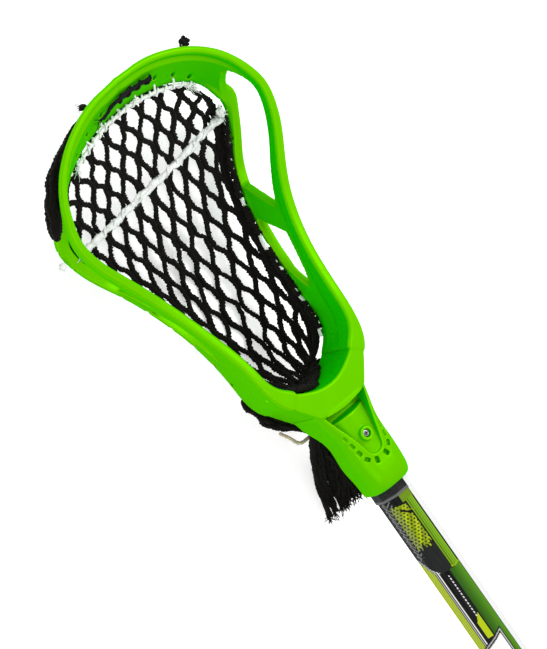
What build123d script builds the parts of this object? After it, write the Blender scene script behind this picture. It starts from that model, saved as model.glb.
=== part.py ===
"""Lacrosse stick: a moulded head with a strung net pocket on an octagonal tube shaft.

Millimetres. The stick lies face up on the floor, the shaft along Y and the scoop towards +Y. The origin is on
the floor under the middle of the stick. Head sizes are measured from the throat end, on the shaft's axis.
"""

import os
from math import cos, radians, sin, tan

from build123d import *

os.makedirs("parts", exist_ok=True)

# Driving dimensions
stick_length = 940.0
head_length = 321.7
pocket_depth = 62.0  # from the shaft's axis down to the bottom of the net
shaft_flats = 24.0
shaft_wall = 1.3
shaft_corner = 1.6
socket_depth = 51.0
socket_gap = 0.1
cap_length = 32.0
cap_wall = 2.4
cap_gap = 0.15
collar_length = 7.6
collar_wall = 0.7
throat_front = 19.0
screw_place = 38.6
screw_head_radius = 2.6
screw_shank_radius = 1.9
screw_gap = 0.2
string_hole = 3.0
net_thickness = 2.6
lacing_radius = 1.2
shooting_radius = 1.9
tail_radius = 1.9

# Derived
throat_y = stick_length / 2 - head_length
axis_z = pocket_depth
shaft_top = socket_depth - 1.0
cap_floor = 4.0
butt_y = -stick_length / 2 - throat_y  # the far end of the stick, from the throat end
shaft_butt = butt_y + cap_floor + cap_gap


def at(x, y, z):
    """A point of the head or shaft, from the throat end on the shaft's axis."""
    return (x, throat_y + y, axis_z + z)


def across(y, x=0.0, z=0.0):
    """A plane square to the shaft, with x across the stick and y up."""
    return Plane(at(x, y, z), x_dir=(1, 0, 0), z_dir=(0, -1, 0))


def octagon(flats):
    """Circumscribed radius of an octagon with this size across its flats."""
    return flats / 2 / cos(radians(22.5))


# The wall of the head, from the tip of the scoop round to the ball stop. Each section stands
# square to the rail, and gives where its outer top edge is (x, y), which way it faces, and its own sizes:
# top height, rail width, rail drop, web inset and thickness, foot inset, width and rise, and bottom height.
wall_sections = [
    (0.0, 321.7, 90, 15.0, 5.0, 4.2, 3.6, 5.4, 18.2, 5.4, 4.0, -17.5),
    (20.0, 320.2, 80, 14.9, 5.0, 4.2, 3.6, 5.4, 17.8, 5.4, 4.0, -17.6),
    (40.0, 314.8, 68, 14.7, 5.1, 4.3, 3.6, 5.2, 16.8, 5.6, 4.2, -17.8),
    (57.8, 305.4, 54, 14.4, 5.2, 4.5, 3.6, 5.0, 15.0, 6.0, 4.5, -18.2),
    (71.0, 294.0, 40, 14.0, 5.4, 4.8, 3.4, 4.8, 12.8, 6.8, 5.0, -19.2),
    (80.2, 281.0, 27, 13.6, 5.6, 5.2, 3.0, 4.6, 10.6, 8.0, 5.5, -21.0),
    (86.0, 267.5, 16, 13.0, 6.0, 6.0, 2.4, 4.4, 8.2, 10.6, 6.0, -24.0),
    (88.5, 257.0, 4, 11.9, 6.2, 6.5, 2.0, 4.2, 6.4, 11.0, 6.0, -28.6),
    (87.8, 244.0, -9, 9.9, 6.4, 7.5, 1.8, 4.0, 6.6, 8.6, 6.0, -36.4),
    (83.2, 229.0, -22, 7.9, 6.6, 8.5, 1.6, 4.0, 7.2, 7.2, 6.0, -42.0),
    (74.7, 212.0, -27, 5.2, 6.8, 9.0, 1.6, 4.0, 7.2, 6.8, 6.0, -46.6),
    (64.7, 192.0, -23, 2.8, 6.8, 9.0, 1.6, 4.0, 7.0, 6.6, 6.0, -42.6),
    (56.1, 169.5, -19, 4.0, 6.8, 8.5, 1.6, 4.0, 6.0, 6.6, 6.0, -35.4),
    (50.0, 148.0, -14, 8.6, 6.8, 9.0, 1.6, 4.0, 4.6, 6.6, 6.0, -27.8),
    (46.6, 132.0, -10, 13.4, 6.8, 12.5, 1.4, 4.4, 3.4, 6.6, 6.0, -24.4),
    (44.4, 117.0, -7, 17.0, 6.8, 14.5, 1.0, 5.2, 2.2, 6.6, 6.0, -21.6),
    (42.8, 103.0, -10, 18.3, 7.4, 15.5, 0.2, 6.6, 1.2, 7.0, 6.0, -20.8),
    (39.5, 90.0, -26, 18.7, 11.0, 15.5, 0.0, 10.6, 0.6, 10.0, 6.0, -21.5),
    (33.2, 80.5, -42, 18.9, 12.0, 15.0, 0.0, 12.0, 0.2, 11.6, 6.0, -23.0),
]
edge_break = 1.5
barrel = 0.4  # the sides of the wall bulge by this much


def wall_outline(top, rail, drop, web_in, web, foot_in, foot, rise, bottom):
    """Corners of one wall section: x is outwards from the outer top edge, y is height above the axis."""
    low_in = foot_in + (foot - web) / 2
    return [
        (-edge_break, top),
        (0, top - edge_break),
        (0.8 * barrel - 0.3 * web_in, top - drop),
        (barrel - web_in, top - drop - 2),
        (barrel - low_in, bottom + rise + 1),
        (-foot_in, bottom + rise - 0.5),
        (-foot_in, bottom + edge_break),
        (-foot_in - edge_break, bottom),
        (edge_break - foot_in - foot, bottom),
        (-foot_in - foot, bottom + edge_break),
        (-foot_in - foot, bottom + rise - 0.5),
        (-barrel - low_in - web, bottom + rise + 1),
        (-barrel - web_in - web, top - drop - 2),
        (-0.8 * barrel - rail, top - drop),
        (-rail, top - edge_break),
        (edge_break - rail, top),
    ]


ball_stop_bottom = -22.0
ball_stop_top = 18.6
ball_stop_edge = [(30.6, 93.0), (25.0, 88.2), (17.8, 83.9), (9.0, 80.3), (0.0, 79.0)]

# The throat: half width, top and bottom of its rounded section at places along the shaft
throat_sections = [
    (0.0, 14.6, 14.6, -14.6, 11.0),
    (1.2, 15.2, 15.6, -14.9, 11.0),
    (5.0, 15.8, 17.8, -15.0, 11.0),
    (12.0, 16.2, throat_front, -15.2, 11.0),
    (38.0, 16.8, throat_front, -15.4, 11.0),
    (50.0, 18.4, throat_front, -18.8, 10.0),
    (58.0, 20.4, 18.8, -22.3, 9.0),
    (66.0, 22.4, 18.2, -22.7, 8.0),
]

# Holes that the strings pass through, (y, z) along the bottom rails and (x, y) round the scoop
rail_holes = [
    (112, -17.4),
    (128, -20.6),
    (146, -24.4),
    (163, -29.6),
    (180, -35.6),
    (197, -40.4),
    (214, -43.4),
    (231, -39.0),
    (247, -32.8),
    (259, -25.2),
]
scoop_holes = [(0, 307.0), (16, 305.8), (31, 301.6), (44, 294.8), (55, 286.2)]
vents = [(4.2, 20.6, 20), (9.5, 24.4, 50), (11.5, 30.7, 75), (13.0, 37.2, 80), (14.5, 43.4, 80)]

with BuildPart() as head:
    # Throat
    for y, half, top, bottom, corner in throat_sections:
        with BuildSketch(across(y, z=(top + bottom) / 2)):
            RectangleRounded(2 * half, top - bottom, corner)
    loft()
    # Ball stop, between the walls
    with BuildPart(mode=Mode.PRIVATE) as ball_stop:
        with BuildSketch(Plane(at(0, 0, ball_stop_bottom))):
            with BuildLine():
                left_outer = Spline((-35.4, 85.6), (-32.4, 81.0), (-26.4, 72.8), (-20.0, 64.6))
                ThreePointArc((-20.0, 64.6), (0, 61.0), (20.0, 64.6))
                Spline((20.0, 64.6), (26.4, 72.8), (32.4, 81.0), (35.4, 85.6))
                Line((35.4, 85.6), ball_stop_edge[0])
                inner = Spline(*ball_stop_edge, *[(-x, y) for x, y in ball_stop_edge[-2::-1]])
                Line(inner @ 1, left_outer @ 0)
            make_face()
        extrude(amount=ball_stop_top - ball_stop_bottom)
        fillet(ball_stop.edges().group_by(Axis.Z)[-1], 1.4)
    add(ball_stop.part)
    # One wall, and its mirror image
    with BuildPart(mode=Mode.PRIVATE) as wall:
        for x, y, facing, *sizes in wall_sections:
            outward = (cos(radians(facing)), sin(radians(facing)), 0)
            with BuildSketch(Plane(at(x, y, 0), x_dir=outward, z_dir=(outward[1], -outward[0], 0))):
                with BuildLine():
                    Polyline(*wall_outline(*sizes), close=True)
                make_face()
        loft()
    add(wall.part)
    add(mirror(wall.part, about=Plane.YZ, mode=Mode.PRIVATE))
    # Hollow behind the ball stop, open underneath
    with BuildSketch(Plane(at(0, 70.2, ball_stop_bottom - 1))):
        RectangleRounded(28, 8.6, 3)
    extrude(amount=throat_front - ball_stop_bottom - 3.5, mode=Mode.SUBTRACT)
    # Recess on the front of the throat, round the tube that holds the shaft
    with BuildPart(mode=Mode.PRIVATE) as recess_cut:
        with BuildSketch(Plane(at(0, 0, 4.0))):
            with BuildLine():
                Line((-6.0, 28.0), (-9.5, 40.0))
                Line((-9.5, 40.0), (-18.0, 63.5))
                ThreePointArc((-18.0, 63.5), (0, 61.0), (18.0, 63.5))
                Line((18.0, 63.5), (9.5, 40.0))
                Line((9.5, 40.0), (6.0, 28.0))
                ThreePointArc((6.0, 28.0), (0, 24.0), (-6.0, 28.0))
            make_face()
        extrude(amount=30)
        with Locations(Location(at(0, 27.5, 0), (90, 0, 0))):
            Cylinder(16.6, 55.0, mode=Mode.SUBTRACT)
    add(recess_cut.part, mode=Mode.SUBTRACT)
    # Socket, screw boss and screw hole
    with BuildSketch(across(-1)):
        RegularPolygon(octagon(shaft_flats + 2 * socket_gap), 8, rotation=22.5)
    extrude(amount=-socket_depth - 1, mode=Mode.SUBTRACT)
    with BuildSketch(Plane(at(0, screw_place, 14.0))):
        Circle(4.6)
        Circle(screw_head_radius + screw_gap, mode=Mode.SUBTRACT)
    extrude(amount=5.6)
    with BuildSketch(Plane(at(0, screw_place, 0))):
        Circle(screw_shank_radius + screw_gap)
    extrude(amount=16.7, mode=Mode.SUBTRACT)
    with BuildSketch(Plane(at(0, screw_place, 15.2))):
        Circle(screw_head_radius + screw_gap)
    extrude(amount=6, mode=Mode.SUBTRACT)
    # Vents
    for side in (-1, 1):
        for x, y, turn in vents:
            with BuildSketch(Plane(at(side * x, y, 14.8))):
                Rectangle(4.0 if x > 5 else 3.2, 2.8 if x > 5 else 4.4, rotation=side * turn)
            extrude(amount=8, mode=Mode.SUBTRACT)
    # Long window
    with BuildSketch(Plane(at(0, 0, 0), x_dir=(0, 1, 0), z_dir=(1, 0, 0))):
        with BuildLine():
            upper = Spline((183, -12), (208, -8.5), (229, -3), (250, 2), (266, 4.6), (275, 3.5))
            tip = Line((183, -12), (201, -36.6))
            lower = Spline((204.5, -39.2), (215, -40.3), (231, -36), (246, -29), (258, -21), (275, -1))
            ThreePointArc(tip @ 1, (202.2, -38.4), (204.5, -39.2))
            ThreePointArc((275, 3.5), (277, 1.2), (275, -1))
        make_face()
        # Short window
        with BuildLine():
            Spline((131, -7), (147, -6.4), (158, -8), (167, -10))
            Line((167, -10), (180.5, -31.5))
            RadiusArc((180.5, -31.5), (178.5, -32.6), -1.5)
            Spline((178.5, -32.6), (168, -28.6), (155, -24.2), (146, -20), (131, -9.6))
            RadiusArc((131, -9.6), (131, -7), 1.6)
        make_face()
    extrude(amount=110, both=True, mode=Mode.SUBTRACT)
    # String holes
    with BuildSketch(Plane(at(0, 0, 0), x_dir=(0, 1, 0), z_dir=(1, 0, 0))):
        with Locations(*rail_holes):
            Circle(string_hole / 2)
    extrude(amount=110, both=True, mode=Mode.SUBTRACT)
    with BuildSketch(Plane(at(0, 0, -30))):
        with Locations(*scoop_holes, *[(-x, y) for x, y in scoop_holes[1:]]):
            Circle(string_hole / 2)
    extrude(amount=60, mode=Mode.SUBTRACT)
head.part.label = "head_frame"
export_step(head.part, "parts/head_frame.step")
print("head volume cm3", round(head.part.volume / 1000, 1), "solids", len(head.part.solids()))

with BuildPart() as screw:
    with BuildSketch(Plane(at(0, screw_place, 15.3))):
        Circle(screw_head_radius)
    extrude(amount=2.6)
    fillet(screw.edges().group_by(Axis.Z)[-1], 0.9)
    with BuildSketch(Plane(at(0, screw_place, 7.3))):
        Circle(screw_shank_radius)
    extrude(amount=8.1)
    # Cross recess
    with BuildSketch(Plane(at(0, screw_place, 16.7))):
        Rectangle(2.8, 0.7)
        Rectangle(0.7, 2.8)
    extrude(amount=3, mode=Mode.SUBTRACT)
screw.part.label = "head_screw"
export_step(screw.part, "parts/head_screw.step")

with BuildPart() as shaft:
    with BuildSketch(across(shaft_butt)):
        RegularPolygon(octagon(shaft_flats), 8, rotation=22.5)
    extrude(amount=-(shaft_top - shaft_butt))
    fillet(shaft.edges().filter_by(Axis.Y), shaft_corner)
    with BuildSketch(across(shaft_butt)):
        RegularPolygon(octagon(shaft_flats - 2 * shaft_wall), 8, rotation=22.5)
    extrude(amount=-(shaft_top - shaft_butt), mode=Mode.SUBTRACT)
    with BuildSketch(Plane(at(0, screw_place, 5))):
        Circle(screw_shank_radius + screw_gap)
    extrude(amount=10, mode=Mode.SUBTRACT)
shaft.part.label = "shaft"
export_step(shaft.part, "parts/shaft.step")

with BuildPart() as collar:
    with BuildSketch(across(0)):
        RegularPolygon(octagon(shaft_flats + 2 * collar_wall), 8, rotation=22.5)
        RegularPolygon(octagon(shaft_flats), 8, rotation=22.5, mode=Mode.SUBTRACT)
    extrude(amount=collar_length)
collar.part.label = "throat_collar"
export_step(collar.part, "parts/throat_collar.step")

# Rubber cap, turned about the shaft: radius and distance from its end
cap_radius = octagon(shaft_flats) + cap_wall
with BuildPart() as cap:
    with BuildSketch(Plane(at(0, butt_y, 0), x_dir=(1, 0, 0), z_dir=(0, 0, 1))):
        with BuildLine():
            Line((0, 0), (cap_radius - 1.5, 0))
            RadiusArc((cap_radius - 1.5, 0), (cap_radius + 1.6, 3.2), -3.2)
            Spline((cap_radius + 1.6, 3.2), (cap_radius + 1.4, 6.5), (cap_radius, 11), (cap_radius - 0.2, 20))
            Line((cap_radius - 0.2, 20), (cap_radius - 0.6, cap_length - 0.8))
            Line((cap_radius - 0.6, cap_length - 0.8), (cap_radius - 1.4, cap_length))
            Line((cap_radius - 1.4, cap_length), (0, cap_length))
            Line((0, cap_length), (0, 0))
        make_face()
    revolve(axis=Axis(at(0, 0, 0), (0, 1, 0)))
    with BuildSketch(across(butt_y + cap_floor)):
        RegularPolygon(octagon(shaft_flats + 2 * cap_gap), 8, rotation=22.5)
    extrude(amount=-cap_length, mode=Mode.SUBTRACT)
cap.part.label = "butt_cap"
export_step(cap.part, "parts/butt_cap.step")

# The net: at places along the head, its half width, the height of its edge and of its middle, and its depth
net_sections = [
    (82.0, 12.0, -23.4, -25.5, 4.0),
    (92.0, 25.0, -22.6, -43.0, 5.0),
    (103.0, 33.4, -20.6, -53.0, 3.6),
    (118.0, 36.0, -21.6, -58.2, 2.8),
    (132.0, 36.4, -24.4, -59.2, 2.7),
    (148.0, 38.2, -27.6, -59.1, 2.7),
    (170.0, 42.8, -35.0, -57.4, net_thickness),
    (192.0, 49.6, -42.0, -53.4, net_thickness),
    (212.0, 57.8, -46.4, -48.4, net_thickness),
    (229.0, 66.0, -43.0, -42.4, net_thickness),
    (244.0, 71.2, -36.8, -35.6, net_thickness),
    (257.0, 70.0, -29.0, -29.4, net_thickness),
    (267.5, 64.6, -24.0, -24.6, net_thickness),
    (278.0, 57.6, -20.8, -20.0, net_thickness),
    (287.0, 45.6, -18.8, -16.2, net_thickness),
    (294.0, 29.6, -17.4, -13.6, net_thickness),
    (297.2, 13.0, -16.2, -13.0, net_thickness),
]
with BuildPart() as net:
    for y, half, edge, middle, depth in net_sections:
        inner = half - 2.0
        shoulder = middle + 0.25 * (edge - middle)
        with BuildSketch(across(y)):
            with BuildLine():
                top = Spline((-inner, edge), (-0.6 * inner, shoulder), (0, middle), (0.6 * inner, shoulder), (inner, edge))
                low = Spline(
                    (half, edge - 0.6 * depth),
                    (0.6 * half, shoulder - depth),
                    (0, middle - depth),
                    (-0.6 * half, shoulder - depth),
                    (-half, edge - 0.6 * depth),
                )
                Line(top @ 1, low @ 0)
                Line(low @ 1, top @ 0)
            make_face()
    loft()
net.part.label = "mesh_pocket"
export_step(net.part, "parts/mesh_pocket.step")

# The lower end of the net, drawn together under the ball stop: half width, height and depth
with BuildPart() as gather:
    for y, half, height, depth in [(80.5, 38, -26.8, 5.4), (75, 36, -27, 6), (67, 29, -27, 6.4), (60, 19.5, -27, 7)]:
        with BuildSketch(across(y, z=height)):
            Ellipse(half, depth / 2)
    with BuildSketch(across(54.6, z=-26.4)):
        Ellipse(13.4, 4.2)
    loft()
gather.part.label = "mesh_gather"
export_step(gather.part, "parts/mesh_gather.step")

# The upper end of the net, folded and tied behind the scoop: on the right, where the outer edge of the wall is,
# which way it faces, how far inside it the fold lies, its height and its radius. The left side hangs lower.
fold_sections = [
    (88.3, 260.0, 6, 1.8, -12.0, 2.2),
    (86.0, 267.5, 16, 2.4, -9.0, 4.0),
    (80.2, 281.0, 27, 3.8, -7.6, 4.3),
    (71.0, 294.0, 40, 5.4, -6.8, 4.2),
    (57.8, 305.4, 54, 7.2, -6.2, 3.4),
    (40.0, 314.8, 68, 8.2, -6.0, 2.0),
    (20.0, 320.2, 80, 8.4, -6.0, 1.6),
    (0.0, 321.7, 90, 8.4, -6.0, 1.6),
]
with BuildPart() as fold:
    left_side = [(-x, y, 180 - facing, *sizes) for x, y, facing, *sizes in fold_sections[-2::-1]]
    for x, y, facing, inside, height, radius in fold_sections[3:] + left_side:
        outward = (cos(radians(facing)), sin(radians(facing)), 0)
        middle = at(x - inside * outward[0], y - inside * outward[1], height)
        with BuildSketch(Plane(middle, x_dir=outward, z_dir=(outward[1], -outward[0], 0))):
            RegularPolygon(radius, 10)
    loft()
fold.part.label = "mesh_top_fold"
export_step(fold.part, "parts/mesh_top_fold.step")


def both_sides(points):
    """A route given from its far right to the middle, carried on to the left."""
    return [at(x, y, z) for x, y, z in points] + [at(-x, y, z) for x, y, z in points[-2::-1]]


def start_circle(route, radius):
    """The round section of a string at the start of its route."""
    with BuildSketch(Plane(route.line @ 0, z_dir=route.line % 0)) as section:
        Circle(radius)
    return section.sketch


with BuildPart() as top_string:
    with BuildLine() as top_route:
        Spline(*[at(*point) for point in [(-20, 304.9, 6.4), (-7, 306.8, 6.6), (9, 306.9, 6.6), (24.6, 304.6, 6.6)]])
    sweep(start_circle(top_route, 1.5))
top_string.part.label = "top_string"
export_step(top_string.part, "parts/top_string.step")

lacing_points = [(55.0, 280.2, -13.6), (44.4, 286.8, -12.0), (30.6, 291.6, -11.0), (15.7, 295.4, -10.2), (0, 296.6, -9.8)]
with BuildPart() as scoop_lacing:
    with BuildLine() as lacing_route:
        Spline(*both_sides(lacing_points)[:-1])
    sweep(start_circle(lacing_route, lacing_radius))
scoop_lacing.part.label = "scoop_lacing"
export_step(scoop_lacing.part, "parts/scoop_lacing.step")

sidewall_points = [
    (29.6, 99.0, -16.4),
    (32.8, 112.0, -16.6),
    (34.8, 132.0, -20.0),
    (36.4, 149.0, -23.4),
    (41.2, 172.0, -31.0),
    (49.0, 196.0, -38.2),
    (58.8, 217.0, -42.0),
    (66.4, 234.0, -37.6),
    (68.6, 246.0, -31.6),
    (67.0, 256.0, -24.4),
]
with BuildPart() as sidewall_right:
    with BuildLine() as right_route:
        Spline(*[at(x, y, z) for x, y, z in sidewall_points])
    sweep(start_circle(right_route, lacing_radius))
sidewall_right.part.label = "sidewall_string_right"
export_step(sidewall_right.part, "parts/sidewall_string_right.step")

with BuildPart() as sidewall_left:
    with BuildLine() as left_route:
        Spline(*[at(-x, y, z) for x, y, z in sidewall_points])
    sweep(start_circle(left_route, lacing_radius))
sidewall_left.part.label = "sidewall_string_left"
export_step(sidewall_left.part, "parts/sidewall_string_left.step")

shooting_points = [(-65.0, 236.4, -35.0), (-35, 238.6, -35.4), (0, 241.3, -34.2), (35, 244.2, -32.8), (67.0, 248.6, -30.4)]
with BuildPart() as shooting:
    with BuildLine() as shooting_route:
        Spline(*[at(*point) for point in shooting_points])
    sweep(start_circle(shooting_route, shooting_radius))
shooting.part.label = "shooting_string"
export_step(shooting.part, "parts/shooting_string.step")

bottom_points = [(-27.0, 63.6, -32.0), (-23.0, 57.0, -32.2), (-19.0, 50.6, -33.4), (-10.0, 48.6, -35.6), (0, 49.4, -36.0)]
with BuildPart() as bottom_string:
    with BuildLine() as bottom_route:
        Spline(*[at(*point) for point in bottom_points])
    sweep(start_circle(bottom_route, 1.2))
bottom_string.part.label = "bottom_string"
export_step(bottom_string.part, "parts/bottom_string.step")

# Knots on the rim and the bottom rails: place, and size along and across the string
knots = {
    "top_knot_left": (at(-26.8, 318.6, 6.6), 2.6, 2.0, 15),
    "top_knot_right": (at(59.4, 308.2, 4.6), 5.6, 2.8, -37),
    "sidewall_knot_left": (at(-83.4, 238.4, -35.2), 3.4, 2.2, 80),
    "sidewall_knot_right": (at(64.4, 252.0, -22.4), 3.4, 2.2, 100),
}
for knot_name, (place, half_length, radius, turn) in knots.items():
    with BuildPart() as knot:
        with Locations(Location(place, (0, 0, turn)) * Location((0, 0, 0), (0, 90, 0))):
            Cylinder(radius, 2 * half_length)
        fillet(knot.edges().filter_by(GeomType.CIRCLE), 0.9 * radius)
    knot.part.label = knot_name
    export_step(knot.part, f"parts/{knot_name}.step")

# The tail: loose strands of net that hang from the gather behind the throat, clear of the floor
tail_starts = [-10.5, -6.3, -2.1, 2.1, 6.3, 10.5]
tail_ends = [-23.0, -17.6, -11.8, -6.4, -0.8, 4.8]
for number, (start, end) in enumerate(zip(tail_starts, tail_ends), 1):
    spread = end - start
    tail_points = [
        at(start, 52.0, -26.6),
        at(start + 0.3 * spread, 36.0, -38.6),
        at(start + 0.7 * spread, 16.5, -48.0),
        at(end, -3.5, -50.5),
    ]
    corners = [Vector(*point) for point in tail_points]
    tail_radii = []
    for before, corner, after in zip(corners, corners[1:], corners[2:]):
        turn = (corner - before).get_angle(after - corner)
        shorter = min((corner - before).length, (after - corner).length)
        tail_radii.append(0.45 * shorter / tan(radians(turn / 2)))
    print(f"mesh_tail_{number} radii", [round(radius, 1) for radius in tail_radii])
    with BuildPart() as tail:
        with BuildLine() as tail_route:
            FilletPolyline(*tail_points, radius=tail_radii)
        sweep(start_circle(tail_route, tail_radius))
    print(f"mesh_tail_{number} length", round(sum(edge.length for edge in tail_route.edges()), 1))
    tail.part.label = f"mesh_tail_{number}"
    export_step(tail.part, f"parts/mesh_tail_{number}.step")
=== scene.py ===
"""Looks of the lacrosse stick: moulded head, knitted net, strings, printed shaft.

Sizes are in millimetres, turned into metres by at() and MM. Places are measured from the throat end of the
head, on the shaft's axis: x to the right, y towards the scoop, z out of the open face.
"""

import math

import bpy
import numpy as np
from mathutils import Matrix, Vector
from mathutils.bvhtree import BVHTree


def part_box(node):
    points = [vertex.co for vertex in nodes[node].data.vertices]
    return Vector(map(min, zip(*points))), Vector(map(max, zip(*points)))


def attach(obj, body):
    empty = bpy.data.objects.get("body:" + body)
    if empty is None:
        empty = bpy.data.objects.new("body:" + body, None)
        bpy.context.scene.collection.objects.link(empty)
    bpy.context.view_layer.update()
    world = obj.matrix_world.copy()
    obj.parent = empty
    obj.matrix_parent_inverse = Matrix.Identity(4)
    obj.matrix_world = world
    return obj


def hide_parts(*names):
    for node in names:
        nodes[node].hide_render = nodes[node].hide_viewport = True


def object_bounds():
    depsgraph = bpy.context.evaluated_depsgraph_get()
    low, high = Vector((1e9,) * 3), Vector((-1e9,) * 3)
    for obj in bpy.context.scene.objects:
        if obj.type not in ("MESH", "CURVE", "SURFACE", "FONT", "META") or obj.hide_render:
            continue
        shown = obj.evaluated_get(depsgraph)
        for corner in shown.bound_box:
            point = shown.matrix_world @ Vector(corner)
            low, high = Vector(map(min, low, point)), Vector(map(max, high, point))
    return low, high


MM = 0.001
floor_gap = 0.1 * MM  # yarn lies this far above the floor
rng = np.random.default_rng(5)

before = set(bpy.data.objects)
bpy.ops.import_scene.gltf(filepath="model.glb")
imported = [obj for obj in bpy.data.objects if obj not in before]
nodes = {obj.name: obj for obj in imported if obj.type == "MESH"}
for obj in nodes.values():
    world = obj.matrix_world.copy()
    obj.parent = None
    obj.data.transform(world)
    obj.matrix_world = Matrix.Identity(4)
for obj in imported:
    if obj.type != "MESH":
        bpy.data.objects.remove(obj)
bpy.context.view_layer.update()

collar_low, collar_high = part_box("throat_collar")
screw_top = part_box("head_screw")[1].z
shaft_low, shaft_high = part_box("shaft")
throat = np.array([(collar_low.x + collar_high.x) / 2, collar_high.y, (collar_low.z + collar_high.z) / 2])
shaft_flats = (shaft_high.x - shaft_low.x) / MM
shaft_butt = (shaft_low.y - throat[1]) / MM
floor_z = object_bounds()[0].z


def at(points):
    """Head coordinates in millimetres to the row frame in metres."""
    return throat + np.asarray(points, float) * MM


# ---------------------------------------------------------------- materials


class Nodes:
    """A short way to write a material's nodes."""

    def __init__(self, name):
        self.material = bpy.data.materials.new(name)
        self.material.use_nodes = True
        self.tree = self.material.node_tree
        self.shader = self.tree.nodes["Principled BSDF"]
        self.place = self.add("ShaderNodeTexCoord").outputs["Object"]

    def add(self, kind, **settings):
        node = self.tree.nodes.new(kind)
        for key, value in settings.items():
            setattr(node, key, value)
        return node

    def link(self, output, socket):
        self.tree.links.new(output, socket)

    def fill(self, socket, value):
        """Gives a socket another node's output, a number or a colour."""
        if isinstance(value, bpy.types.NodeSocket):
            self.link(value, socket)
        elif isinstance(value, (int, float)):
            socket.default_value = value
        else:
            socket.default_value = (*value, 1)

    def math(self, operation, a, b):
        node = self.add("ShaderNodeMath", operation=operation)
        self.fill(node.inputs[0], a)
        self.fill(node.inputs[1], b)
        return node.outputs["Value"]

    def axis(self, vector, letter):
        """One part of a vector: X, Y or Z."""
        node = self.add("ShaderNodeSeparateXYZ")
        self.link(vector, node.inputs["Vector"])
        return node.outputs[letter]

    def noise(self, scale, detail, stretch=(1, 1, 1)):
        mapping = self.add("ShaderNodeMapping")
        mapping.inputs["Scale"].default_value = stretch
        self.link(self.place, mapping.inputs["Vector"])
        node = self.add("ShaderNodeTexNoise")
        node.inputs["Scale"].default_value = scale
        node.inputs["Detail"].default_value = detail
        node.inputs["Roughness"].default_value = 0.55
        self.link(mapping.outputs["Vector"], node.inputs["Vector"])
        return node.outputs["Fac"]

    def ramp(self, factor, stops):
        node = self.add("ShaderNodeValToRGB")
        ramp = node.color_ramp
        while len(ramp.elements) < len(stops):
            ramp.elements.new(0.5)
        for element, (place, colour) in zip(ramp.elements, stops):
            element.position = place
            element.color = (*colour, 1)
        self.link(factor, node.inputs["Fac"])
        return node.outputs["Color"]

    def mix(self, factor, a, b):
        """Colour a where the factor is 0, colour b where it is 1."""
        node = self.add("ShaderNodeMix", data_type="RGBA", blend_type="MIX")
        for socket, value in ((node.inputs[0], factor), (node.inputs[6], a), (node.inputs[7], b)):
            self.fill(socket, value)
        return node.outputs[2]

    def remap(self, factor, from_low, from_high, low, high):
        node = self.add("ShaderNodeMapRange")
        limits = {"From Min": from_low, "From Max": from_high, "To Min": low, "To Max": high}
        for key, value in limits.items():
            node.inputs[key].default_value = value
        self.link(factor, node.inputs["Value"])
        return node.outputs["Result"]

    def spread(self, noise, low, high):
        """A value from low to high, over the range that a noise mostly keeps to."""
        return self.remap(noise, 0.3, 0.7, low, high)

    def bump(self, height, distance, strength):
        node = self.add("ShaderNodeBump")
        node.inputs["Distance"].default_value = distance
        node.inputs["Strength"].default_value = strength
        self.link(height, node.inputs["Height"])
        self.link(node.outputs["Normal"], self.shader.inputs["Normal"])

    def finish(self, colour, roughness, **values):
        self.fill(self.shader.inputs["Base Color"], colour)
        self.fill(self.shader.inputs["Roughness"], roughness)
        for key, value in values.items():
            self.shader.inputs[key.replace("_", " ")].default_value = value
        return self.material


def plastic():
    """Moulded nylon with faint flow marks, and painted light: yellower where it faces up as if lit, deeper
    green on its inner sides as painted shade, paler on thin edges as a painted highlight and darker in
    hollows as painted shade.
    """
    n = Nodes("green_nylon")
    surface = n.add("ShaderNodeNewGeometry").outputs
    # Painted light by facing: faces turned up get the yellower lit colour, and walls that face the middle (x
    # and the normal's x of opposite sign) get a deeper green as painted shade
    upward = n.axis(surface["Normal"], "Z")
    outward = n.math("MULTIPLY", n.axis(n.place, "X"), n.axis(surface["Normal"], "X"))
    lit_top_green = (0.105, 0.44, 0.0)
    outer = n.ramp(upward, [(0.0, (0.062, 0.40, 0.0)), (0.4, (0.072, 0.42, 0.0)), (0.9, lit_top_green)])
    inner = n.ramp(upward, [(0.0, (0.004, 0.56, 0.0)), (0.4, (0.03, 0.50, 0.0)), (0.9, lit_top_green)])
    colour = n.mix(n.ramp(outward, [(0.0, (0, 0, 0)), (0.012, (1, 1, 1))]), inner, outer)
    colour = n.mix(n.spread(n.noise(28, 2), 0.0, 0.12), colour, (0.05, 0.36, 0.0))
    # Painted highlight: thin edges are made paler. Painted shade: hollows are made deeper and darker
    edge_highlight = n.ramp(surface["Pointiness"], [(0.51, (0, 0, 0)), (0.57, (0.6, 0.6, 0.6))])
    hollow_shade = n.ramp(surface["Pointiness"], [(0.42, (0.85, 0.85, 0.85)), (0.488, (0, 0, 0))])
    colour = n.mix(edge_highlight, colour, (0.26, 0.70, 0.0))
    colour = n.mix(hollow_shade, colour, (0.0, 0.16, 0.0))
    n.bump(n.noise(900, 2), 0.00004, 0.35)
    shine = (0.30, 1.0, 0.0, 1)
    rough = n.spread(n.noise(60, 3), 0.28, 0.40)
    return n.finish(colour, rough, Metallic=0.12, Specular_IOR_Level=0.0, Specular_Tint=shine)


def fabric(name, dark, light, roughness=0.9, scale=1500, fuzz=0.3):
    """Knitted or braided yarn: fine fibres, uneven dye and a soft sheen."""
    n = Nodes(name)
    colour = n.mix(n.spread(n.noise(scale, 4), 0.0, 1.0), dark, light)
    colour = n.mix(n.spread(n.noise(120, 2), 0.0, 0.35), colour, dark)
    n.bump(n.noise(scale * 1.6, 3), 0.0003, 0.9)
    return n.finish(colour, roughness, Sheen_Weight=fuzz, Sheen_Roughness=0.5, Specular_IOR_Level=0.1)


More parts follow.
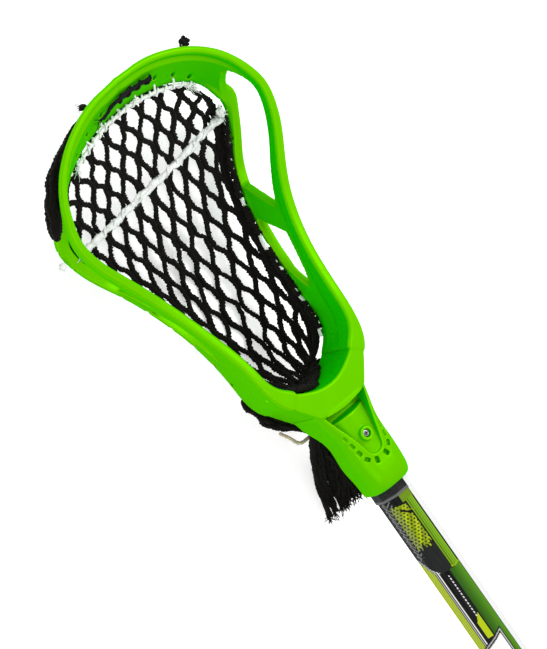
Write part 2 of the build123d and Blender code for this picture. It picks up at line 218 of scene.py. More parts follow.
def rubber():
    """Matte black, with a grey rim at the collar's lower edge and a painted highlight on the collar's
    front-right facet.
    """
    n = Nodes("black_rubber_skin")
    colour = n.mix(n.spread(n.noise(300, 3), 0.0, 1.0), (0.006, 0.007, 0.007), (0.016, 0.017, 0.017))
    along = n.axis(n.place, "Y")
    on_collar = n.math("GREATER_THAN", along, collar_low.y - 1 * MM)
    rim = n.remap(along, collar_low.y + 1.3 * MM, collar_low.y + 2.1 * MM, 0.8, 0.0)
    colour = n.mix(n.math("MULTIPLY", rim, on_collar), colour, (0.12, 0.12, 0.12))
    # Painted highlight: the collar's facet between its front and its right side is painted pale, as light
    # blows it out
    tilt = n.add("ShaderNodeVectorMath", operation="DOT_PRODUCT")
    n.link(n.add("ShaderNodeNewGeometry").outputs["Normal"], tilt.inputs[0])
    tilt.inputs[1].default_value = (0.7071, 0.0, 0.7071)
    facet_right_highlight = n.math("GREATER_THAN", tilt.outputs["Value"], 0.96)
    colour = n.mix(n.math("MULTIPLY", facet_right_highlight, on_collar), colour, (0.62, 0.63, 0.62))
    n.bump(n.noise(1400, 3), 0.00012, 0.6)
    return n.finish(colour, n.spread(n.noise(90, 2), 0.5, 0.72), Specular_IOR_Level=0.12)


def chrome():
    """Plated steel, unevenly bright, with painted shade: the cross recess of the screw's head is painted
    dark.
    """
    n = Nodes("plated_steel")
    colour = n.mix(n.spread(n.noise(500, 3), 0.0, 1.0), (0.16, 0.16, 0.17), (0.62, 0.62, 0.64))
    # Painted shade: all below the screw's top is painted near black
    recess_shade = n.math("LESS_THAN", n.axis(n.place, "Z"), screw_top - 0.35 * MM)
    colour = n.mix(recess_shade, colour, (0.012, 0.012, 0.014))
    n.bump(n.noise(1800, 2), 0.00003, 0.4)
    return n.finish(colour, n.spread(n.noise(700, 2), 0.16, 0.34), Metallic=1.0)


def printed():
    """The shaft's print and a painted highlight on its right front face, taken from the mesh's own colours,
    under a clear lacquer with fine brushing.
    """
    n = Nodes("printed_tube_and_highlight")
    print_and_highlight_colour = n.add("ShaderNodeVertexColor", layer_name="print").outputs["Color"]
    worn = n.spread(n.noise(700, 3, stretch=(1, 0.06, 1)), 0.0, 0.05)
    colour = n.mix(worn, print_and_highlight_colour, (0.20, 0.22, 0.20))
    n.bump(n.noise(1500, 2, stretch=(1, 0.05, 1)), 0.00002, 0.3)
    return n.finish(colour, n.spread(n.noise(200, 2), 0.34, 0.46), Specular_IOR_Level=0.04)


green = plastic()
black_net = fabric("black_net_yarn", (0.0015, 0.0012, 0.001), (0.011, 0.009, 0.007), fuzz=0.02)
black_cord = fabric("black_cord_yarn", (0.002, 0.002, 0.002), (0.016, 0.016, 0.016), fuzz=0.03)
white_cord = fabric("white_cord_yarn", (0.55, 0.56, 0.56), (0.93, 0.93, 0.92), 0.85, 1300, 0.2)
beige_cord = fabric("beige_cord_yarn", (0.34, 0.27, 0.17), (0.70, 0.62, 0.48), 0.9, 1300, 0.2)
rubber_skin = rubber()
steel = chrome()
lacquer = printed()


# ---------------------------------------------------------------- mesh tools


class Mesh:
    """Collects vertices and faces of one piece."""

    def __init__(self):
        self.vertices = []
        self.faces = []
        self.count = 0

    def put(self, vertices, faces):
        self.vertices.append(np.asarray(vertices, float))
        self.faces.append(np.asarray(faces, int) + self.count)
        self.count += len(vertices)

    def piece(self, name, material, slot, replaces=(), body="stick"):
        """Turns what was collected into one named object that rides on a body."""
        mesh = bpy.data.meshes.new(name)
        faces = [tuple(f) for block in self.faces for f in block.tolist()]
        points = np.vstack(self.vertices)
        # Yarn that reaches the floor lies on it
        points[:, 2] = np.maximum(points[:, 2], floor_gap)
        mesh.from_pydata(points.tolist(), [], faces)
        mesh.materials.append(material)
        mesh.polygons.foreach_set("use_smooth", [True] * len(mesh.polygons))
        mesh.update()
        piece = bpy.data.objects.new(name, mesh)
        bpy.context.scene.collection.objects.link(piece)
        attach(piece, body)
        if replaces:
            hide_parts(*replaces)
        return piece


def run_along(path):
    """How far along a path each of its points is."""
    return np.concatenate([[0], np.cumsum(np.linalg.norm(np.diff(path, axis=0), axis=1))])


def length_of(path):
    return np.linalg.norm(np.diff(path, axis=0), axis=1).sum()


def resample(path, step):
    """Points along a path, evenly spaced."""
    path = np.asarray(path, float)
    run = run_along(path)
    count = max(int(run[-1] / step) + 1, 3)
    places = np.linspace(0, run[-1], count)
    return np.stack([np.interp(places, run, path[:, i]) for i in range(3)], 1)


def smooth_path(points, step=1.0):
    """A rounded line through points, in millimetres (Catmull-Rom)."""
    p = np.asarray(points, float)
    p = np.vstack([2 * p[0] - p[1], p, 2 * p[-1] - p[-2]])
    out = []
    for a, b, c, d in zip(p, p[1:], p[2:], p[3:]):
        t = np.linspace(0, 1, max(int(np.linalg.norm(c - b) / step), 4), endpoint=False)[:, None]
        bend, twist = 2 * a - 5 * b + 4 * c - d, 3 * b - a - 3 * c + d
        out.append(0.5 * (2 * b + (c - a) * t + bend * t**2 + twist * t**3))
    return resample(np.vstack(out + [p[-2][None]]), step)


def frames(path):
    """Tangent, side and normal along a path, turned as little as possible from one point to the next."""
    tangent = np.gradient(path, axis=0)
    tangent /= np.linalg.norm(tangent, axis=1)[:, None] + 1e-12
    side = np.cross(tangent[0], [0, 0, 1.0])
    if np.linalg.norm(side) < 1e-3:
        side = np.array([1.0, 0, 0])
    sides = []
    for t in tangent:
        side = side - t * (side @ t)
        side /= np.linalg.norm(side) + 1e-12
        sides.append(side)
    sides = np.array(sides)
    return tangent, sides, np.cross(sides, tangent)


def lay_of(style, run, angle):
    """How the surface of a yarn rises and falls round and along it."""
    if style == "knit":
        stitches = 0.16 * np.sin(2.7 * run + 2.2 * np.abs(np.mod(angle, 2 * np.pi) - np.pi))
        return stitches + 0.05 * np.sin(7.1 * run + 5 * angle)
    if style == "braid":
        return 0.15 * np.maximum(np.cos(2 * angle + 1.9 * run), np.cos(2 * angle - 1.9 * run)) - 0.03
    if style == "twist":
        return 0.34 * np.abs(np.cos(1.5 * angle + 1.1 * run)) - 0.18
    return np.zeros_like(run + angle)


def tube(mesh, path, radius, sides=8, style="knit", rough=0.07, flat=1.0):
    """One yarn as a closed tube along a path in millimetres of the head."""
    path = np.asarray(path, float)
    tangent, side, normal = frames(path)
    run = run_along(path)[:, None]
    angle = np.linspace(0, 2 * np.pi, sides, endpoint=False)[None]
    grain = rng.normal(0, rough, (len(path), sides))
    reach = np.broadcast_to(np.asarray(radius, float).reshape(-1, 1), (len(path), 1))
    reach = reach * (1 + lay_of(style, run + rng.uniform(0, 6), angle) + grain)
    ring_side = (np.cos(angle) * reach)[..., None] * side[:, None]
    ring_normal = (np.sin(angle) * reach * flat)[..., None] * normal[:, None]
    points = path[:, None] + (ring_side + ring_normal)
    n, m = len(path), sides
    i, j = np.meshgrid(np.arange(n - 1), np.arange(m), indexing="ij")
    a, b = i * m + j, i * m + (j + 1) % m
    quads = np.stack([a, b, b + m, a + m], -1).reshape(-1, 4)
    mesh.put(at(points.reshape(-1, 3)), quads)
    # Each end is closed by a fan round one point that stands out a little
    first_tip = path[0] - tangent[0] * np.mean(reach[0]) * 0.5
    last_tip = path[-1] + tangent[-1] * np.mean(reach[-1]) * 0.5
    base = mesh.count - n * m
    mesh.put(at([first_tip, last_tip]), np.zeros((0, 3)))
    fan = []
    for k in range(m):
        fan.append((base + (k + 1) % m, base + k, mesh.count - 2))
        fan.append((base + (n - 1) * m + k, base + (n - 1) * m + (k + 1) % m, mesh.count - 1))
    mesh.faces.append(np.array(fan))


def fibres(mesh, path, radius, per_mm, length):
    """Short loose fibres standing off a yarn: thin three-sided spikes."""
    path = np.asarray(path, float)
    tangent, side, normal = frames(path)
    width = 0.10
    for _ in range(int(length_of(path) * per_mm)):
        k = rng.integers(len(path))
        angle = rng.uniform(0, 2 * np.pi)
        out = np.cos(angle) * side[k] + np.sin(angle) * normal[k]
        lean = out + tangent[k] * rng.normal(0, 0.5) + rng.normal(0, 0.25, 3)
        lean /= np.linalg.norm(lean)
        root = path[k] + out * radius * 0.8
        across = np.cross(lean, tangent[k])
        across /= np.linalg.norm(across) + 1e-9
        up = np.cross(across, lean)
        tip = root + lean * length * rng.uniform(0.4, 1.3)
        back = root - 0.5 * across * width
        corners = [root + across * width, back + 0.87 * up * width, back - 0.87 * up * width, tip]
        mesh.put(at(corners), [(0, 1, 2), (0, 3, 1), (1, 3, 2), (2, 3, 0)])


def wander(path, amount, every=6.0):
    """The same path, pushed about smoothly."""
    path = np.asarray(path, float)
    count = max(int(length_of(path) / every), 2) + 2
    pushes = rng.normal(0, amount, (count, 3))
    t = np.linspace(0, count - 1, len(path))
    k = np.minimum(t.astype(int), count - 2)
    f = (t - k)[:, None]
    f = f * f * (3 - 2 * f)
    return path + pushes[k] * (1 - f) + pushes[k + 1] * f


def frayed_end(mesh, place, direction, count, length, spread=0.5, radius=0.28):
    """Loose threads at the cut end of a yarn."""
    direction = np.asarray(direction, float) / np.linalg.norm(direction)
    for _ in range(count):
        aim = direction + rng.normal(0, spread, 3)
        aim /= np.linalg.norm(aim)
        reach = length * rng.uniform(0.45, 1.0)
        start = np.asarray(place, float) + rng.normal(0, 0.6, 3)
        bend = rng.normal(0, 0.22 * reach, 3)
        early = start + direction * reach * 0.35
        late = start + aim * reach * 0.7 + bend * 0.5
        path = smooth_path([start, early, late, start + aim * reach + bend], 0.9)
        tube(mesh, path, np.linspace(radius, radius * 0.5, len(path)), 4, "plain", 0.1)


def tangle(mesh, place, size, loops, radius):
    """A small knot: a few loops wound through each other."""
    place = np.asarray(place, float)
    for k in range(loops):
        axis = rng.normal(0, 1, 3)
        axis /= np.linalg.norm(axis)
        first = np.cross(axis, [0.3, 0.5, 0.8])
        first /= np.linalg.norm(first)
        second = np.cross(axis, first)
        angle = np.linspace(rng.uniform(0, 6), rng.uniform(10, 13), 26)[:, None]
        wobble = 1 + 0.25 * np.sin(3 * angle + k)
        ring = (np.cos(angle) * first + np.sin(angle) * second) * wobble * 0.62
        path = place + ring * np.asarray(size, float) + rng.normal(0, 0.2, 3)
        tube(mesh, path, radius, 6, "twist")


# ---------------------------------------------------------------- head, screw, collar, cap

head = nodes["head_frame"]
head.data.materials.clear()
head.data.materials.append(green)
remesh = head.modifiers.new("one_skin", "REMESH")
remesh.mode = "VOXEL"
remesh.voxel_size = 0.6 * MM
remesh.use_smooth_shade = True
soften = head.modifiers.new("moulded_edges", "SMOOTH")
soften.factor = 0.5
soften.iterations = 3

for node, material, slot in (
    ("head_screw", steel, "screw_chrome"),
    ("throat_collar", rubber_skin, "black_rubber"),
    ("butt_cap", rubber_skin, "black_rubber"),
):
    nodes[node].data.materials.clear()
    nodes[node].data.materials.append(material)


# ---------------------------------------------------------------- net

net_low, net_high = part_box("mesh_pocket")
net_y = np.linspace((net_low.y - throat[1]) / MM + 0.6, (net_high.y - throat[1]) / MM - 0.6, 80)
net_skin = BVHTree.FromObject(nodes["mesh_pocket"], bpy.context.evaluated_depsgraph_get())
yarn = 1.85  # radius of one net yarn
half_steps = 30  # measured steps across the net on each side of its middle


def net_profile(y):
    """Points from left to right on the net's upper face, in head coordinates, square to the stick at y."""
    low = net_skin.ray_cast(Vector(at((0, y, 60))), Vector((0, 0, -1)))[0]
    middle = (low.z - throat[2]) / MM
    eye = np.array([0, y, middle + 38])  # above the net, inside the pocket
    halves = []
    for turn in (-1, 1):
        half = []
        for angle in np.radians(np.linspace(0.3, 89.4, 220)):
            ray = Vector((turn * math.sin(angle), 0, -math.cos(angle)))
            hit = net_skin.ray_cast(Vector(at(eye)), ray)[0]
            if hit is None:
                break
            half.append((np.array(hit) - throat) / MM)
        halves.append(half)
    return np.array(halves[0][::-1] + halves[1])


profiles, half_lengths = [], []
for y in net_y:
    line = net_profile(y)
    run = run_along(line)
    even = np.linspace(0, run[-1], 2 * half_steps + 1)
    profiles.append(np.stack([np.interp(even, run, line[:, i]) for i in range(3)], 1))
    half_lengths.append(run[-1] / 2)
profiles, half_lengths = np.array(profiles), np.array(half_lengths)


def on_net(y, across):
    """The point of the net at y, this far across it from its middle, measured along the net."""
    y = np.clip(y, net_y[0], net_y[-1])
    row = (y - net_y[0]) / (net_y[1] - net_y[0])
    i = np.clip(row.astype(int), 0, len(net_y) - 2)
    f = (row - i)[:, None]
    half = np.interp(y, net_y, half_lengths)
    column = (np.clip(across / half, -1, 1) + 1) * half_steps
    j = np.clip(column.astype(int), 0, 2 * half_steps - 1)
    g = (column - j)[:, None]
    near = profiles[i, j] * (1 - g) + profiles[i, j + 1] * g
    far = profiles[i + 1, j] * (1 - g) + profiles[i + 1, j + 1] * g
    point = near * (1 - f) + far * f
    point[:, 2] -= yarn * 0.85
    return point


def along_stick(y, table):
    """A size that changes along the stick, from a table of places and sizes that starts at the scoop."""
    return np.interp(y, *zip(*table[::-1]))


# From the scoop down: how far apart the rows of cells are, and how wide they are at the middle of the net
row_gaps = [
    (297, 13.0),
    (262, 13.6),
    (240, 16.2),
    (205, 15.6),
    (160, 15.6),
    (120, 14.6),
    (95, 12.8),
    (75, 12.0),
]
cell_widths = [
    (297, 16.2),
    (262, 14.6),
    (235, 14.2),
    (183, 13.2),
    (150, 13.2),
    (123, 13.4),
    (100, 10.4),
    (84, 7.0),
]
first_row = 287.0
rows = [first_row + along_stick(first_row, row_gaps)]
while rows[-1] > net_y[0]:
    rows.append(rows[-1] - along_stick(rows[-1], row_gaps))
rows = np.array(rows)
points_per_row = 14
knot_share = 0.16  # of a row's height, at each end of it, where two yarns run side by side
yarn_offset = 1.35  # from the middle of a knot to each of its two yarns
net_shift = 1.0  # the cells sit this far to the right of the stick's middle
pinned_from = 246  # above here the net's edge is tied to the head, and its cells aren't crowded


def edge_hold(share):
    """Cells are free in the middle of the net and crowd together near its edges."""
    size, free = np.abs(share), 0.9
    crowded = free + 0.1 * (1 - np.exp(-(size - free) / 0.1))
    return np.sign(share) * np.where(size < free, size, crowded)


def strand(column, turn):
    """One yarn zigzagging down the net between two columns of cells."""
    place = np.arange(0, len(rows) - 1, 1 / points_per_row)
    k = place.astype(int)
    f = np.clip((place - k - knot_share) / (1 - 2 * knot_share), 0, 1)
    f = f * f * (3 - 2 * f)
    y = np.interp(place, np.arange(len(rows)), rows)
    width = along_stick(y, cell_widths)
    step = np.where(k % 2 == 1, f, 1 - f)
    pair = yarn_offset / width
    u = column + turn * (pair + (0.5 - 2 * pair) * step)
    across = u * width + net_shift
    droop = 7.0 * (across / 42) ** 2 * np.clip((y - 225) / 60, 0, 1)
    y = y - droop
    half = np.interp(y, net_y, half_lengths)
    pinned = y > pinned_from
    keep = np.where(pinned, np.abs(across) < half + 1.5, True) & (y < net_y[-1] + 2)
    held = np.where(pinned, np.clip(across, -half, half), edge_hold(across / half) * half)
    path = on_net(y, held)
    pieces, start = [], None
    for n, good in enumerate(list(keep) + [False]):
        if good and start is None:
            start = n
        if not good and start is not None:
            if n - start > 4:
                pieces.append(path[start:n])
            start = None
    return pieces


net = Mesh()
for column in range(-6, 7):
    for turn in (-1, 1):
        for path in strand(column, turn):
            path = wander(resample(path, 0.95), 0.34, 5)
            tube(net, path, yarn * rng.uniform(0.92, 1.08), 8, "knit", 0.12, 0.8)
            fibres(net, path, yarn, 2.4, 1.1)
# The bunched edges
for side in (-1, 1):
    for share, top in ((0.955, 256), (1.0, 276), (0.98, 264)):
        y = np.arange(top, net_y[0] + 1, -1.0)
        half = np.interp(y, net_y, half_lengths)
        path = wander(on_net(y, side * (share * half + 1.2 * np.sin(y / 5.5 + 9 * share))), 0.5, 7)
        tube(net, path, 1.5, 8, "knit", 0.1)
        fibres(net, path, 1.5, 1.2, 0.9)
# The upper border
y = np.concatenate([np.arange(256, net_y[-1], 1.0), [net_y[-1]]])
half = np.interp(y, net_y, half_lengths)
right_edge = on_net(y, half)
left_edge = on_net(y, -half)
border = wander(resample(np.vstack([left_edge, right_edge[::-1]]), 0.95), 0.25, 6)
tube(net, border, 1.3, 8, "knit", 0.1)
net.piece("knitted_net", black_net, "net_cord", ["mesh_pocket"])


def mirrored(points):
    """A route given from its far right to the middle, carried on to the left."""
    return list(points) + [(-x, y, z) for x, y, z in points[-2::-1]]


# The lower end, drawn together under the ball stop
gather_widths = [(84, 37.5), (80.5, 38), (75, 36), (67, 29), (60, 19.5), (54.6, 13), (51, 11)]
gather = Mesh()
for layer in (-1, 1):
    for k in range(15):
        share = (k - 7 + 0.25 * layer) / 7.4
        y = np.arange(84.0, 51.0, -1.0)
        half = along_stick(y, gather_widths)
        lift = math.sqrt(max(1 - share**2, 0.05)) * np.interp(y, [51, 60, 84], [2.6, 2.0, 1.3])
        path = np.stack([share * half * 0.95, y, -26.8 + layer * lift], 1)
        if abs(share) > 0.75:
            side = np.sign(share)
            rise = [(35 + 2 * layer, 100.0, -21.5 - layer), (38.5 + layer, 91.0, -25.2 + layer)]
            rise = [(side * x, y, z) for x, y, z in rise]
            path = smooth_path(np.vstack([rise, path[::4]]))
        path = wander(path, 0.45, 5)
        tube(gather, path, 1.7, 8, "knit", 0.1)
        fibres(gather, path, 1.6, 1.6, 1.0)
# Slack net heaped against the ball stop, higher on the left
stop_points = [(30.6, 93.0, 0), (25.0, 88.2, 0), (17.8, 83.9, 0), (9.0, 80.3, 0), (0.0, 79.0, 0)]
stop_edge = smooth_path(mirrored(stop_points))[::-1]
for k in range(11):
    x = stop_edge[:, 0]
    path = stop_edge[(x > -29.5 + 0.5 * k) & (x < 21 - 3.1 * k)] + np.array([0, 2.3, -22.5 + 3.4 * k])
    x = path[:, 0]
    path = path + np.stack([0 * x, 0.8 * np.abs(np.sin(x / 3 + k)), 1.3 * np.sin(x / 4.2 + 2 * k)], 1)
    path = wander(path, 0.5, 5)
    tube(gather, path, 1.7, 8, "knit", 0.12)
    fibres(gather, path, 1.6, 2.0, 1.1)
gather.piece("gathered_end", black_net, "net_cord", ["mesh_gather"])

# The upper end, folded and tied behind the scoop, from its middle down one side. Each row holds the outer
# edge of the scoop's wall (x, y), the way it faces in degrees, how far inside it the fold lies, the fold's
# height and its radius.
fold_half = [
    (0.0, 321.7, 90, 8.4, -6.0, 1.6),
    (20.0, 320.2, 80, 8.4, -6.0, 1.6),
    (40.0, 314.8, 68, 8.2, -6.0, 2.0),
    (57.8, 305.4, 54, 7.2, -6.2, 3.4),
    (71.0, 294.0, 40, 5.4, -6.8, 4.2),
    (80.2, 281.0, 27, 3.8, -7.6, 4.3),
    (86.0, 267.5, 16, 2.4, -9.0, 4.0),
    (88.3, 260.0, 6, 1.8, -12.0, 2.2),
]


def fold_line(side):
    """Middle of the fold and its radius, from the middle of the scoop down one side."""
    line = []
    for x, y, facing, inside, height, radius in fold_half:
        turn = math.radians(facing)
        line.append((side * (x - inside * math.cos(turn)), y - inside * math.sin(turn), height, radius))
    return np.array(line)


left, right = fold_line(-1), fold_line(1)[:5]
fold_path = np.vstack([left[::-1], right[1:]])
run = run_along(fold_path[:, :3])
fold_middle = smooth_path(fold_path[:, :3], 1.1)
travel = np.linspace(0, run[-1], len(fold_middle))
fold_radius = np.interp(travel, run, fold_path[:, 3])
fold = Mesh()
tangent, side_way, up_way = frames(fold_middle)
outer_yarns = 8
for k in range(outer_yarns + 1):
    start = 2 * np.pi * k / outer_yarns
    turn = start + 0.55 * np.sin(travel / 17 + k) + travel / 90
    reach = fold_radius * (0.72 if k < outer_yarns else 0.0)
    path = fold_middle + side_way * (np.cos(turn) * reach)[:, None] + up_way * (np.sin(turn) * reach)[:, None]
    path = wander(path, 0.45, 6)
    tube(fold, path, 0.42 * fold_radius + 0.35, 8, "knit", 0.1)
    fibres(fold, path, 1.5, 1.0, 1.1)
fold.piece("folded_top", black_net, "net_cord", ["mesh_top_fold"])


# ---------------------------------------------------------------- strings


def wound(path, reach, pitch, radius, mesh, style="twist", sides=6):
    """A thin string wound round a path."""
    step = 0.7
    path = resample(path, step)
    tangent, side, normal = frames(path)
    run = np.arange(len(path)) * step
    turn = 2 * np.pi * run / pitch
    line = path + side * (np.cos(turn) * reach)[:, None] + normal * (np.sin(turn) * reach)[:, None]
    tube(mesh, line, radius, sides, style)
    return line


top = Mesh()
top_route = smooth_path([(-20, 304.9, 6.4), (-7, 306.8, 6.6), (9, 306.9, 6.6), (24.6, 304.6, 6.6)])
for shift in (-1.0, 0.2, 1.2):
    route = wander(top_route[int(6 * (shift + 1)) :], 0.35) + np.array([0, 0.3 * shift, shift])
    tube(top, route, 1.15, 8, "braid")
wound(top_route[16:], 1.9, 8.0, 0.9, top)
fibres(top, top_route, 1.6, 2.0, 1.2)
frayed_end(top, top_route[0], (-1, -0.3, 0), 10, 7, 0.35, 0.25)
top.piece("scoop_cord", black_cord, "black_string", ["top_string"])

lacing = Mesh()
lacing_points = [
    (55.0, 280.2, -13.6),
    (44.4, 286.8, -12.0),
    (30.6, 291.6, -11.0),
    (15.7, 295.4, -10.2),
    (0, 296.6, -9.8),
]
lacing_route = smooth_path(mirrored(lacing_points)[:-1])
tube(lacing, wander(lacing_route, 0.3), 1.15, 8, "braid")
wound(lacing_route, 1.7, 6.4, 0.75, lacing)
fibres(lacing, lacing_route, 1.4, 2.0, 1.4)
for place, way in ((0, (0.4, -0.9, 0.2)), (4, (0.1, -1, 0.3)), (-1, (-0.8, -0.5, 0.1))):
    frayed_end(lacing, lacing_route[place], way, 14, 9.0, 0.35, 0.24)
# Short loops up to the holes of the scoop
for x, y in ((31.0, 301.6), (44.0, 294.8), (16.0, 305.8), (0.0, 307.0), (-16.0, 305.8), (-31.0, 301.6)):
    loop = [(0.95 * x, y - 9.0, -10.6), (x, y - 4.0, -9.0), (x, y - 0.6, -9.4), (1.01 * x, y, -13.5)]
    tube(lacing, wander(smooth_path(loop), 0.2), 0.8, 6, "twist")
lacing.piece("scoop_lacing_cord", white_cord, "white_string", ["scoop_lacing"])

side_points = [
    (29.6, 99.0, -16.4),
    (32.8, 112.0, -16.6),
    (34.8, 132.0, -20.0),
    (36.4, 149.0, -23.4),
    (41.2, 172.0, -31.0),
    (49.0, 196.0, -38.2),
    (58.8, 217.0, -42.0),
    (66.4, 234.0, -37.6),
    (68.6, 246.0, -31.6),
    (67.0, 256.0, -24.4),
]
for side, name in ((-1, "left"), (1, "right")):
    cord = Mesh()
    route = smooth_path([(side * x, y, z) for x, y, z in side_points])
    wave = np.sin(2 * np.pi * route[:, 1] / 17.0)[:, None]
    route = route + wave * np.array([side * 1.1, 0, -1.3])
    tube(cord, wander(route, 0.2), 1.15, 8, "braid")
    fibres(cord, route, 1.1, 1.6, 1.0)
    cord.piece(f"sidewall_cord_{name}", white_cord, "white_string", [f"sidewall_string_{name}"])
    # The net's edge is pulled up over the string between its ties
    wraps = Mesh()
    for first, last in ((5, 24), (30, 66), (76, 98), (104, len(route) - 4)):
        for phase in (0, 2.4):
            stretch = route[first : last + int(phase)]
            line = wound(stretch, 1.5, 4.6 + 0.5 * phase, 1.15, wraps, "knit", 7)
            fibres(wraps, line, 1.1, 0.5, 1.0)
        beside = route[first:last] + np.array([-side * 0.9, 0, 1.0])
        tube(wraps, wander(beside, 0.4), 1.3, 8, "knit", 0.12)
    wraps.piece(f"net_edge_{name}", black_net, "net_cord")

shooting = Mesh()
shooting_route = smooth_path(
    [(-65.0, 236.4, -35.0), (-35, 238.6, -35.4), (0, 241.3, -34.2), (35, 244.2, -32.8), (67.0, 248.6, -30.4)]
)
weave = np.sin(2 * np.pi * shooting_route[:, 0] / 14.2)[:, None]
shooting_route = shooting_route + weave * np.array([0, 0.5, 0.9])
uneven = 1 + 0.22 * np.sin(shooting_route[:, 0] / 3.1) * np.sin(shooting_route[:, 0] / 8.3)
tube(shooting, wander(shooting_route, 0.5), 2.1 * uneven, 10, "braid", 0.1, 0.8)
tube(shooting, wander(shooting_route, 0.7) + np.array([0, -0.9, 0.4]), 1.2, 8, "braid", 0.1)
wound(shooting_route, 1.7, 9.1, 0.9, shooting)
fibres(shooting, shooting_route, 2.1, 5.0, 1.7)
for end, way in ((shooting_route[0], (-0.4, -0.6, 0.3)), (shooting_route[-1], (-0.3, 0.2, 0.6))):
    frayed_end(shooting, end, way, 26, 7.0, 0.8, 0.3)
shooting.piece("shooting_lace", white_cord, "white_string", ["shooting_string"])

bottom = Mesh()
bottom_route = smooth_path(
    [(-27.0, 63.6, -32.0), (-23.0, 57.0, -32.2), (-19.0, 50.6, -33.4), (-10.0, 48.6, -35.6), (0, 49.4, -36.0)]
)
tube(bottom, wander(bottom_route, 0.15), 1.2, 8, "braid")
fibres(bottom, bottom_route, 1.1, 1.5, 0.9)
bottom.piece("bottom_cord", beige_cord, "beige_string", ["bottom_string"])

# Knots: middle, size, and which way the cut ends point
knots = (
    ("top_knot_left", (-26.8, 318.6, 6.6), (2.6, 1.9, 1.9), (-1, 0.4, 0)),
    ("top_knot_right", (59.4, 308.2, 4.6), (5.0, 4.2, 2.8), (0.6, 0.6, 0)),
    ("sidewall_knot_left", (-83.4, 238.4, -35.2), (2.6, 3.4, 2.4), (-0.8, -0.4, 0)),
    ("sidewall_knot_right", (64.4, 252.0, -22.4), (2.6, 3.4, 2.4), (-0.5, -0.7, 0.3)),
)
for name, place, size, out in knots:
    material, slot = (black_cord, "black_string") if name.startswith("top") else (white_cord, "white_string")
    knot = Mesh()
    tangle(knot, place, size, 5, 0.85)
    frayed_end(knot, place, out, 10, 6.0, 0.5, 0.25)
    knot.piece(f"{name}_tied", material, slot, [name])


# ---------------------------------------------------------------- tail

tail_diameter = 3.8
tail_starts = [-10.5, -6.3, -2.1, 2.1, 6.3, 10.5]
tail_ends = [-23.0, -17.6, -11.8, -6.4, -0.8, 4.8]


def nurbs_route(name, points, radius):
    """A round cord along a NURBS spline through the route's points, in metres."""
    curve = bpy.data.curves.new(name, "CURVE")
    curve.dimensions = "3D"
    spline = curve.splines.new("NURBS")
    spline.points.add(len(points) - 1)
    for point, place in zip(spline.points, points):
        point.co = (*place, 1)
    spline.order_u = 3
    spline.use_endpoint_u = True
    spline.resolution_u = 12
    curve.bevel_depth = radius
    curve.bevel_resolution = 3
    curve.use_fill_caps = True
    return curve


def points_of(curve):
    """The spline's own line, in head coordinates."""
    bare = curve.copy()
    bare.bevel_depth = 0
    holder = bpy.data.objects.new("line", bare)
    mesh = bpy.data.meshes.new_from_object(holder)
    line = (np.array([v.co for v in mesh.vertices]) - throat) / MM
    bpy.data.objects.remove(holder)
    bpy.data.meshes.remove(mesh)
    bpy.data.curves.remove(bare)
    return line


def between(first, last, share):
    return first + share * (last - first)


# Loose yarns between the six cords
loose = Mesh()
for k in range(26):
    share = rng.uniform(-0.08, 1.04)
    start = between(tail_starts[0], tail_starts[-1], share)
    end = between(tail_ends[0], tail_ends[-1], share)
    swing = rng.normal(0, 2.6)
    cut = rng.uniform(-4.5, 7.0)
    lift = rng.uniform(-1.0, 3.2)
    path = smooth_path(
        [
            (start, 52.0, -26.4 + 0.3 * lift),
            (0.7 * start + 0.3 * end + 0.5 * swing, 36.0, -38.2 + lift),
            (0.3 * start + 0.7 * end - swing, 16.5, -47.2 + lift),
            (end + 0.4 * swing, cut, -50.0 + lift),
        ]
    )
    path = wander(path, 0.7, 6)
    tube(loose, path, rng.uniform(0.9, 1.5), 7, "knit", 0.12)
    fibres(loose, path, 1.2, 1.4, 1.2)
    frayed_end(loose, path[-1], (0.1 * swing, -1, 0), 5, 6.0, 0.4, 0.35)
loose.piece("tail_loose_yarns", black_net, "net_cord")

for number, (start, end) in enumerate(zip(tail_starts, tail_ends), 1):
    spread = end - start
    route = [
        (start, 52.0, -26.6),
        (start + 0.3 * spread, 36.0, -38.6),
        (start + 0.7 * spread, 16.5, -48.0),
        (end, -3.5, -50.5),
    ]
    route = at(route)
    curve = nurbs_route(f"tail_{number}_core", route, tail_diameter / 2 * MM)
    curve.materials.append(black_net)
    core = bpy.data.objects.new(f"tail_{number}", curve)
    bpy.context.scene.collection.objects.link(core)
    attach(core, "stick")
    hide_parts(f"mesh_tail_{number}")
    step, yarns, reach = 0.9, 4, 1.25
    line = resample(points_of(curve), step)
    tangent, side_way, up_way = frames(line)
    travel = np.arange(len(line)) * step
    strands = Mesh()
    for k in range(yarns):
        turn = 2 * np.pi * k / yarns + travel / 9 + rng.uniform(0, 6)
        path = line + side_way * (np.cos(turn) * reach)[:, None] + up_way * (np.sin(turn) * reach)[:, None]
        path = wander(path, 0.3, 5)
        tube(strands, path, 1.15, 7, "knit", 0.1)
        fibres(strands, path, 1.1, 1.6, 1.0)
    tip = line[-1]
    frayed_end(strands, tip + np.array([0, 1.5, 0.3]), (0.05 * spread, -1, 0.05), 16, 7.5, 0.32, 0.4)
    fray = strands.piece(f"tail_{number}_yarns", black_net, "net_cord")
    length = length_of(points_of(curve)) * MM


# ---------------------------------------------------------------- shaft, its print and a painted highlight

facet = shaft_flats * math.tan(math.radians(22.5))
black = np.array([0.002, 0.002, 0.002])
charcoal = np.array([0.010, 0.011, 0.011])
silver = np.array([0.42, 0.43, 0.42])
white = np.array([0.78, 0.78, 0.76])
# A pale grey for the painted highlight on the right front facet
painted_highlight_pale = np.array([0.60, 0.61, 0.60])
lime = np.array([0.36, 0.46, 0.004])
olive = np.array([0.11, 0.20, 0.005])
bright = np.array([0.13, 0.42, 0.01])
deep = np.array([0.015, 0.07, 0.002])


